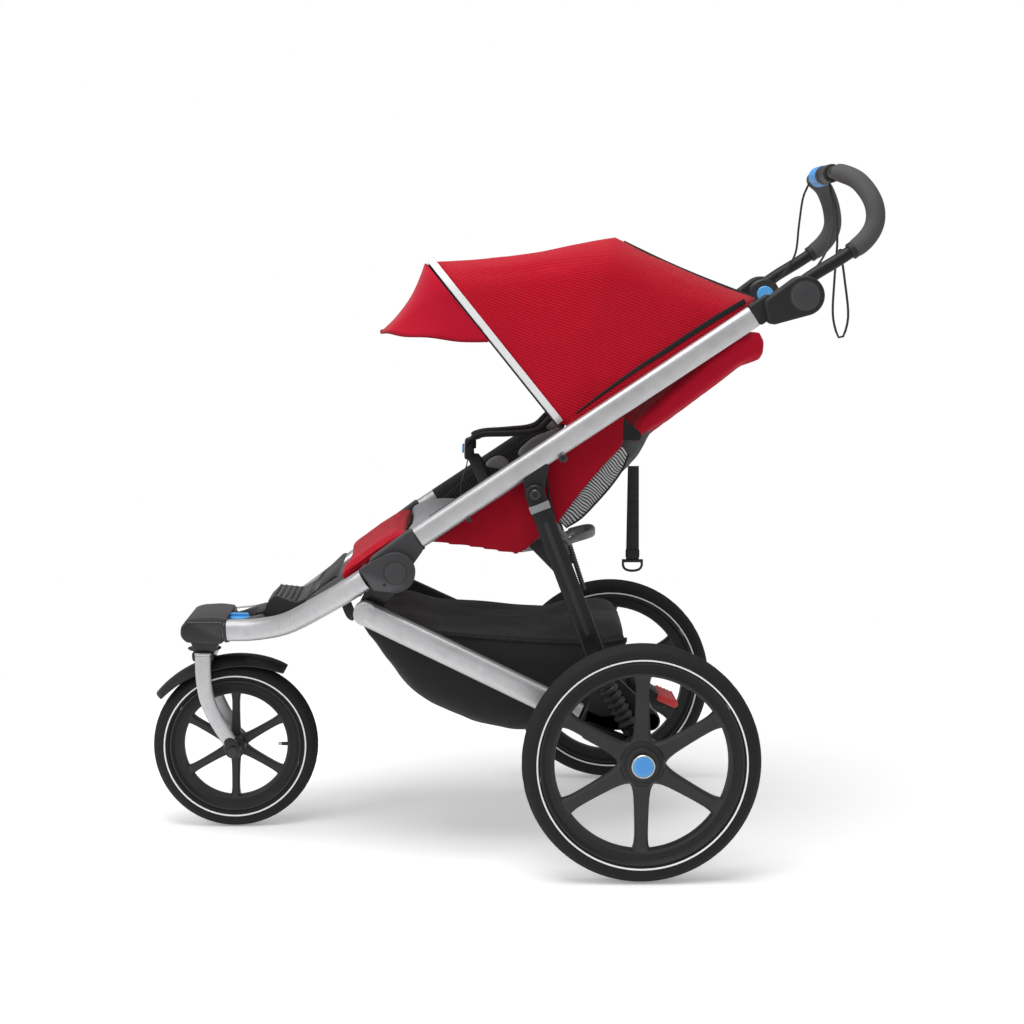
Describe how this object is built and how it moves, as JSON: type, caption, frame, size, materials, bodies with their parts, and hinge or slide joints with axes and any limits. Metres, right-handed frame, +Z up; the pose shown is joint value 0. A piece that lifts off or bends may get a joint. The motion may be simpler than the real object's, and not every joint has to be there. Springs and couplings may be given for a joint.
{
  "type": "jogging stroller",
  "caption": "Jogging stroller: folding oval-tube frame on spoked wheels, swivelling front fork, sprung rear arms, reclining seat, canopy, basket and tilting handlebar.",
  "frame": {"origin": "on the ground under the middle of the whole stroller", "axes": "-X is the way it travels, +Y is the stroller's right side, +Z is up"},
  "size_m": [1.2776, 0.69, 1.2055],
  "materials": {
    "frame_silver": "brushed satin",
    "dark_plastic": "satin",
    "gloss_black": "gloss",
    "black_metal": "satin black",
    "wheel_black": "satin",
    "tyre": "matte with a pale reflective ring",
    "blue_plastic": "satin",
    "red_fabric": "fine ribbed weave",
    "charcoal_fabric": "plain weave",
    "grip_foam": "matte foam",
    "boot_rubber": "matte",
    "cord_black": "braided",
    "steel": "brushed",
    "grey_plastic": "satin"
  },
  "bodies": {
    "front_frame": {"front_tube_l": "frame_silver", "front_tube_r": "frame_silver", "hinge_housing_l": "dark_plastic", "hinge_housing_r": "dark_plastic", "head_casting": "gloss_black", "footrest": "dark_plastic"},
    "swivel_lock": {"swivel_knob": "blue_plastic"},
    "fork": {"fork_crown": "black_metal", "fork_leg_l": "frame_silver", "fork_leg_r": "frame_silver", "front_fender": "dark_plastic", "front_axle": "steel"},
    "front_wheel": {"rim_front": "wheel_black", "tyre_front": "tyre"},
    "upper_frame": {"upper_tube_l": "frame_silver", "upper_tube_r": "frame_silver", "hinge_knuckle_l": "dark_plastic", "hinge_knuckle_r": "dark_plastic", "strut_bracket_l": "dark_plastic", "strut_bracket_r": "dark_plastic", "handle_housing_l": "dark_plastic", "handle_housing_r": "dark_plastic", "seat_sling": "red_fabric", "leg_rest": "red_fabric", "canopy_fabric": "red_fabric"},
    "backrest": {"seat_back": "red_fabric", "recline_strap": "cord_black", "recline_ring": "black_metal"},
    "canopy_front": {"canopy_bow_front": "black_metal", "canopy_visor": "red_fabric"},
    "canopy_middle": {"canopy_bow_middle": "black_metal"},
    "handlebar": {"handlebar": "black_metal", "foam_grip_l": "grip_foam", "foam_grip_r": "grip_foam", "brake_lever_mount": "dark_plastic", "brake_cable_l": "cord_black", "brake_cable_r": "cord_black", "wrist_strap": "cord_black"},
    "brake_twist": {"brake_twist": "blue_plastic"},
    "handle_button_l": {"handle_button_l": "blue_plastic"},
    "handle_button_r": {"handle_button_r": "blue_plastic"},
    "rear_frame": {"lower_strut_l": "frame_silver", "lower_strut_r": "frame_silver", "rear_yoke": "black_metal", "basket": "charcoal_fabric", "shock_boot_l": "boot_rubber", "shock_boot_r": "boot_rubber"},
    "rear_struts": {"rear_strut_l": "black_metal", "rear_strut_r": "black_metal", "strut_crossbar": "black_metal"},
    "fold_loop": {"fold_loop": "grey_plastic"},
    "brake_pedal": {"brake_pedal": "dark_plastic"},
    "swing_arm_l": {"swing_arm_l": "black_metal"},
    "swing_arm_r": {"swing_arm_r": "black_metal"},
    "rear_wheel_l": {"rim_rear_l": "wheel_black", "tyre_rear_l": "tyre"},
    "rear_wheel_r": {"rim_rear_r": "wheel_black", "tyre_rear_r": "tyre"},
    "wheel_button_l": {"wheel_button_l": "blue_plastic"},
    "wheel_button_r": {"wheel_button_r": "blue_plastic"}
  },
  "joints": [
    {"name": "fork_swivel", "type": "hinge", "parent": "front_frame", "child": "fork", "pos_m": [-0.5472, 0, 0.33], "axis": [0, 0, 1], "continuous": true},
    {"name": "front_wheel_spin", "type": "hinge", "parent": "fork", "child": "front_wheel", "pos_m": [-0.4899, 0, 0.1486], "axis": [0, 1, 0], "continuous": true},
    {"name": "swivel_lock_turn", "type": "hinge", "parent": "front_frame", "child": "swivel_lock", "pos_m": [-0.4842, 0, 0.376], "axis": [0, 0, 1], "range_deg": [0, 90]},
    {"name": "frame_fold", "type": "hinge", "parent": "front_frame", "child": "upper_frame", "pos_m": [-0.1952, 0, 0.499], "axis": [0, 1, 0], "range_deg": [0, 88], "deforming": ["seat_sling", "leg_rest", "basket"]},
    {"name": "rear_frame_fold", "type": "hinge", "parent": "front_frame", "child": "rear_frame", "pos_m": [-0.2462, 0, 0.4255], "axis": [0, 1, 0], "range_deg": [0, 76.7]},
    {"name": "rear_strut_fold", "type": "hinge", "parent": "rear_frame", "child": "rear_struts", "pos_m": [0.1583, 0, 0.325], "axis": [0, -1, 0], "range_deg": [0, 18.3]},
    {"name": "seat_recline", "type": "hinge", "parent": "upper_frame", "child": "backrest", "pos_m": [0.0908, 0, 0.575], "axis": [0, -1, 0], "range_deg": [0, 12]},
    {"name": "canopy_fold", "type": "hinge", "parent": "upper_frame", "child": "canopy_front", "pos_m": [0.0878, 0, 0.738], "axis": [0, 1, 0], "range_deg": [0, 60], "deforming": ["canopy_fabric"]},
    {"name": "canopy_middle_fold", "type": "hinge", "parent": "upper_frame", "child": "canopy_middle", "pos_m": [0.0878, 0, 0.738], "axis": [0, 1, 0], "range_deg": [0, 21]},
    {"name": "handlebar_tilt", "type": "hinge", "parent": "upper_frame", "child": "handlebar", "pos_m": [0.4928, 0, 0.971], "axis": [0, 1, 0], "range_deg": [-30, 45]},
    {"name": "brake_twist_turn", "type": "hinge", "parent": "handlebar", "child": "brake_twist", "pos_m": [0.5678, 0, 1.187], "axis": [0, 1, 0], "range_deg": [0, 60]},
    {"name": "handle_button_press_l", "type": "slide", "parent": "handlebar", "child": "handle_button_l", "axis": [0, -1, 0], "range_m": [0, 0.005], "stiffness_N_per_m": 600, "springref_m": -0.004},
    {"name": "handle_button_press_r", "type": "slide", "parent": "handlebar", "child": "handle_button_r", "axis": [0, 1, 0], "range_m": [0, 0.005], "stiffness_N_per_m": 600, "springref_m": -0.004},
    {"name": "swing_arm_travel_l", "type": "hinge", "parent": "rear_frame", "child": "swing_arm_l", "pos_m": [0.1308, -0.259, 0.238], "axis": [0, -1, 0], "range_deg": [0, 8], "stiffness_Nm_per_rad": 60, "springref_deg": -8.59, "deforming": ["shock_boot_l"]},
    {"name": "swing_arm_travel_r", "type": "hinge", "parent": "rear_frame", "child": "swing_arm_r", "pos_m": [0.1308, 0.259, 0.238], "axis": [0, -1, 0], "range_deg": [0, 8], "stiffness_Nm_per_rad": 60, "springref_deg": -8.59, "deforming": ["shock_boot_r"]},
    {"name": "rear_wheel_spin_l", "type": "hinge", "parent": "swing_arm_l", "child": "rear_wheel_l", "pos_m": [0.2158, -0.315, 0.1995], "axis": [0, 1, 0], "continuous": true},
    {"name": "rear_wheel_spin_r", "type": "hinge", "parent": "swing_arm_r", "child": "rear_wheel_r", "pos_m": [0.2158, 0.315, 0.1995], "axis": [0, 1, 0], "continuous": true},
    {"name": "wheel_button_press_l", "type": "slide", "parent": "rear_wheel_l", "child": "wheel_button_l", "axis": [0, 1, 0], "range_m": [0, 0.004], "stiffness_N_per_m": 500, "springref_m": -0.004},
    {"name": "wheel_button_press_r", "type": "slide", "parent": "rear_wheel_r", "child": "wheel_button_r", "axis": [0, -1, 0], "range_m": [0, 0.004], "stiffness_N_per_m": 500, "springref_m": -0.004},
    {"name": "brake_pedal_press", "type": "hinge", "parent": "rear_frame", "child": "brake_pedal", "pos_m": [0.2378, 0, 0.25], "axis": [0, 1, 0], "range_deg": [0, 18]},
    {"name": "fold_loop_lift", "type": "hinge", "parent": "rear_struts", "child": "fold_loop", "pos_m": [0.0988, 0, 0.52], "axis": [0, -1, 0], "range_deg": [-40, 20]}
  ],
  "couplings": [
    {"joint": "rear_frame_fold", "follows": "frame_fold", "ratio": 0.86},
    {"joint": "rear_strut_fold", "follows": "frame_fold", "ratio": 0.197},
    {"joint": "canopy_middle_fold", "follows": "canopy_fold", "ratio": 0.33}
  ]
}
